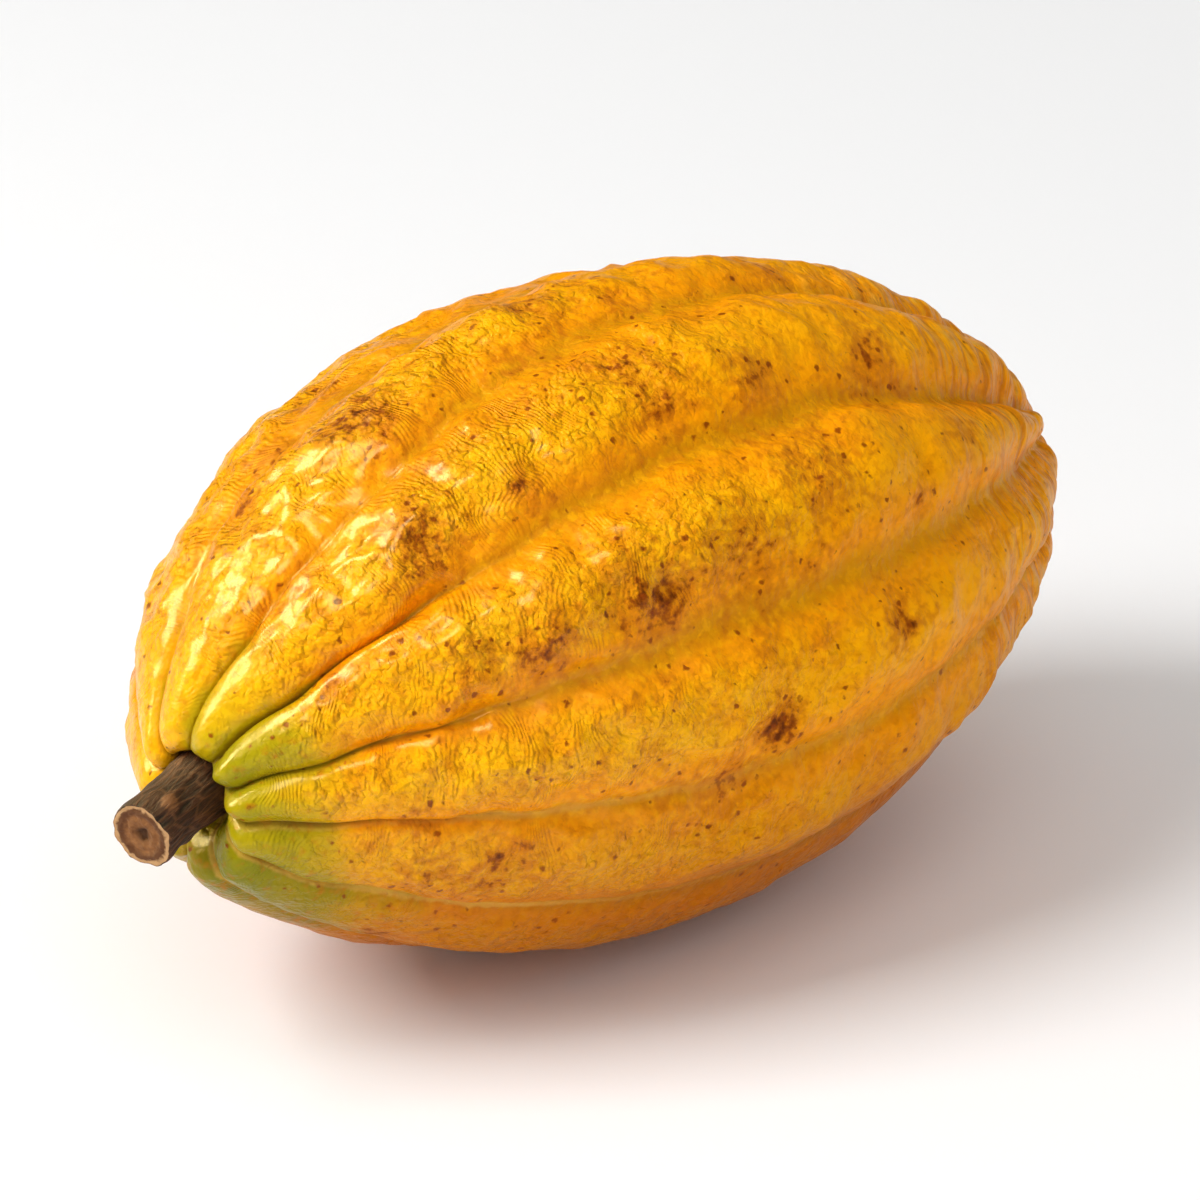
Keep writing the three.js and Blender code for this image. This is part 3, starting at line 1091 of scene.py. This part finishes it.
    def build(self) -> bpy.types.Object:
        """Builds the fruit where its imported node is.

        Returns:
            The piece.
        """
        low, high = (np.array(corner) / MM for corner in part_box("pod"))
        skin = self.form.skin(self.rows, self.columns_per_rib)
        resting = self.form.flat_depth - self.form.crest_radius
        own_low, own_high = skin.points.min(axis=(0, 1)), skin.points.max(axis=(0, 1))
        own_low[2] = resting
        self.middle = ((low + high) - (own_low + own_high)) / 2
        self.cup_floor = skin.points[0, 0] + self.middle
        noise = Noise(self.seed)
        self.meander(skin, noise)
        self.mark(skin, noise)
        skin.points = skin.points + skin.normals() * self.relief(skin, noise)[..., None]
        skin.points[..., 2] = np.maximum(skin.points[..., 2], resting)
        skin.points += self.middle
        for key in ("station", "run"):
            del skin.values[key]
        piece = skin.build("pod_husk", [WaxyHusk().material()])
        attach(piece, "root")
        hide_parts("pod")
        return piece


class Side(Enum):
    """Which of the stalk's finishes a face takes, by its material slot."""

    BARK = 0
    CUT = 1


@dataclass
class Stalk:
    """The cut woody stalk, a short peg with its own bark and cut end."""

    radius: float = 4.75
    length: float = 15.0
    direction: tuple[float, float, float] = (0.235, -0.964, -0.125)
    clearance: float = 1.8
    edge_round: float = 0.3
    base_rows: int = 5
    bark_rows: int = 90
    edge_rows: int = 5
    cut_rows: int = 30
    columns: int = 144
    seed: int = 5

    def skin(self, base: np.ndarray) -> Skin:
        """Works out the peg's surface from its hidden base, along the bark and in over the cut end.

        The outline is a radius and a place along the peg. Bark fissures and knots move it outwards
        or inwards, and the cut end is a shallow dish with a three-cornered pith.

        Args:
            base: The middle of its hidden end.

        Returns:
            The skin, with the values own_place, outward, relief and slot.
        """
        noise = Noise(self.seed)
        flat_end = self.length - self.edge_round
        bark_along = np.linspace(0.0, flat_end, self.bark_rows)
        swell = 1.0 + 0.1 * np.exp(-((bark_along / 3.0) ** 2)) + 0.04 * smoothstep(bark_along, 9.0, 14.0)
        bend = np.linspace(0.0, np.pi / 2, self.edge_rows + 2)[1:-1]
        top = self.radius * swell[-1] - self.edge_round
        across = np.concatenate([
            np.linspace(0.0, self.radius * swell[0], self.base_rows, endpoint=False),
            self.radius * swell,
            top + self.edge_round * np.cos(bend),
            np.linspace(top, 0.0, self.cut_rows),
        ])[:, None]
        along = np.concatenate([
            np.zeros(self.base_rows),
            bark_along,
            flat_end + self.edge_round * np.sin(bend),
            np.full(self.cut_rows, self.length),
        ])[:, None]
        turn = np.linspace(0.0, 2 * np.pi, self.columns, endpoint=False)[None, :]
        own = np.stack([across * np.cos(turn), across * np.sin(turn), along + 0 * turn], axis=-1)

        on_bark = smoothstep(along, 0.5, 2.0) * (across > 0.9 * top)
        fissures = noise.at(own, (1.9, 1.9, 6.5)) + 0.35 * noise.at(own + 9.0, (0.8, 0.8, 2.4))
        waves = noise.at(own + 21.0, (3.6, 3.6, 5.0))
        knots = sum(
            np.exp(-(((along - place) / 1.5) ** 2) - ((1 - np.cos(turn - bearing)) / 0.05))
            for place, bearing in ((8.0, 1.9), (11.0, 4.2), (5.0, 0.2))
        )
        relief = 0.26 * fissures + 0.3 * waves + 0.5 * knots
        radial = across + relief * on_bark
        outward = across / top + 0 * turn
        pith_reach = 0.26 * (1 + 0.2 * np.cos(3 * turn))
        on_cut = smoothstep(outward, 0.98, 0.85) * (along >= self.length)
        dish = 0.25 * (1 - outward**2) + 0.5 * smoothstep(outward, pith_reach, 0.4 * pith_reach)
        grain = 0.16 * noise.at(own + 3.0, 0.8) + 0.1 * np.sin(18.0 * outward + 2.0 * noise.at(own, 2.0))
        ragged = 0.22 * noise.at(own + 40.0, (1.2, 1.2, 4.0)) * smoothstep(outward, 0.7, 1.0)
        ragged *= along > flat_end - 0.5
        place = along - (dish - grain) * on_cut + ragged

        axis = Vector(self.direction).normalized()
        sideways = axis.cross(Vector((0.0, 0.0, 1.0))).normalized()
        frame_axes = np.array([sideways, axis.cross(sideways), axis])
        shape = np.stack([radial * np.cos(turn), radial * np.sin(turn), place], axis=-1)
        sawn = np.arange(len(along)) >= len(along) - self.cut_rows - 1
        cut = np.broadcast_to(sawn[:, None], radial.shape)
        values = {
            "own_place": own,
            "outward": outward,
            "relief": relief,
            "slot": np.where(cut, Side.CUT.value, Side.BARK.value),
        }
        return Skin(base + shape @ frame_axes, values)

    def build(self, cup_floor: np.ndarray) -> bpy.types.Object:
        """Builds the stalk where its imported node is.

        Args:
            cup_floor: The middle of the floor of the husk's cup.

        Returns:
            The piece.
        """
        axis = np.array(Vector(self.direction).normalized())
        skin = self.skin(cup_floor + self.clearance * axis)
        piece = skin.build("cut_stalk", [Bark().material(), CutWood().material()])
        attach(piece, "root")
        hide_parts("stem")
        return piece


@dataclass(frozen=True)
class Softbox:
    """A square soft light that looks at the pod.

    Attributes:
        name: The light's name.
        direction: The way to it from the pod.
        distance: How far away it is, in metres.
        size: The length of its side, in metres.
        power: Its power, in watts.
        gleams: Whether it is seen in gloss only. If not, it lights matt surfaces only.
    """

    name: str
    direction: tuple[float, float, float]
    distance: float
    size: float
    power: float
    gleams: bool


@dataclass
class Studio:
    """The pale floor, the soft light and the camera."""

    azimuth: float = 47.6
    elevation: float = 26.0
    distance: float = 1.336
    lens: float = 276.0
    floor_size: float = 2.2
    softboxes: tuple[Softbox, ...] = (
        Softbox("key", (-0.25, -0.72, 0.78), 1.3, 0.7, 14.5, False),
        Softbox("front", (0.75, -0.35, 1.05), 1.6, 1.4, 4.5, False),
        Softbox("rear", (0.15, 0.7, 0.75), 1.6, 1.4, 0.5, False),
        Softbox("window", (-0.76, -0.5, 0.42), 1.3, 0.5, 29.0, True),
        Softbox("skylight", (-0.57, -0.3, 0.77), 1.3, 0.4, 28.0, True),
        Softbox("rooflight", (0.08, -0.34, 0.93), 1.3, 0.42, 16.0, True),
    )
    gleam_tint: str = "#FFEAAC"

    def build(self, middle: Vector) -> None:
        """Builds the studio round the pod.

        Args:
            middle: The pod's middle, where the camera and the lights look.
        """
        scene = bpy.context.scene
        scene.view_settings.view_transform = "Standard"
        scene.world = WhiteRoom().world()
        scene.world.cycles_visibility.glossy = False

        for box in self.softboxes:
            lamp = bpy.data.lights.new(box.name, "AREA")
            lamp.size = box.size
            lamp.energy = box.power
            lamp.color = linear(self.gleam_tint)[:3] if box.gleams else (1.0, 1.0, 1.0)
            stand = bpy.data.objects.new(box.name, lamp)
            stand.visible_glossy = box.gleams
            stand.visible_diffuse = not box.gleams
            towards = Vector(box.direction).normalized()
            self.place(stand, middle + towards * box.distance, towards)

        eye = bpy.data.cameras.new("camera")
        eye.lens = self.lens
        eye.clip_start = 0.01
        turn, lift = np.radians(self.azimuth), np.radians(self.elevation)
        towards_eye = Vector((np.sin(turn) * np.cos(lift), -np.cos(turn) * np.cos(lift), np.sin(lift)))
        camera = bpy.data.objects.new("camera", eye)
        self.place(camera, middle + towards_eye * self.distance, towards_eye)
        scene.camera = camera

        reach = self.floor_size / 2
        corners = [(-reach, -reach, 0.0), (reach, -reach, 0.0), (reach, reach, 0.0), (-reach, reach, 0.0)]
        mesh = bpy.data.meshes.new("floor")
        mesh.from_pydata(corners, [], [(0, 1, 2, 3)])
        mesh.materials.append(PaperFloor().material())
        floor = bpy.data.objects.new("floor", mesh)
        scene.collection.objects.link(floor)

    def place(self, thing: bpy.types.Object, spot: Vector, away: Vector) -> None:
        """Puts a light or camera in the scene.

        Args:
            thing: The light or camera.
            spot: Where it goes.
            away: The direction that its back faces.
        """
        thing.location = spot
        thing.rotation_euler = away.to_track_quat("Z", "Y").to_euler()
        bpy.context.scene.collection.objects.link(thing)


def main() -> None:
    """Builds the pod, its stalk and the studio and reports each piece."""
    logging.basicConfig(level=logging.INFO, format="%(name)s: %(message)s")
    husk = Husk()
    for piece in (husk.build(), Stalk().build(husk.cup_floor)):
        LOG.info("%s has %d faces", piece.name, len(piece.data.polygons))
    Studio().build(Vector(husk.middle) * MM)


if __name__ == "__main__":
    main()
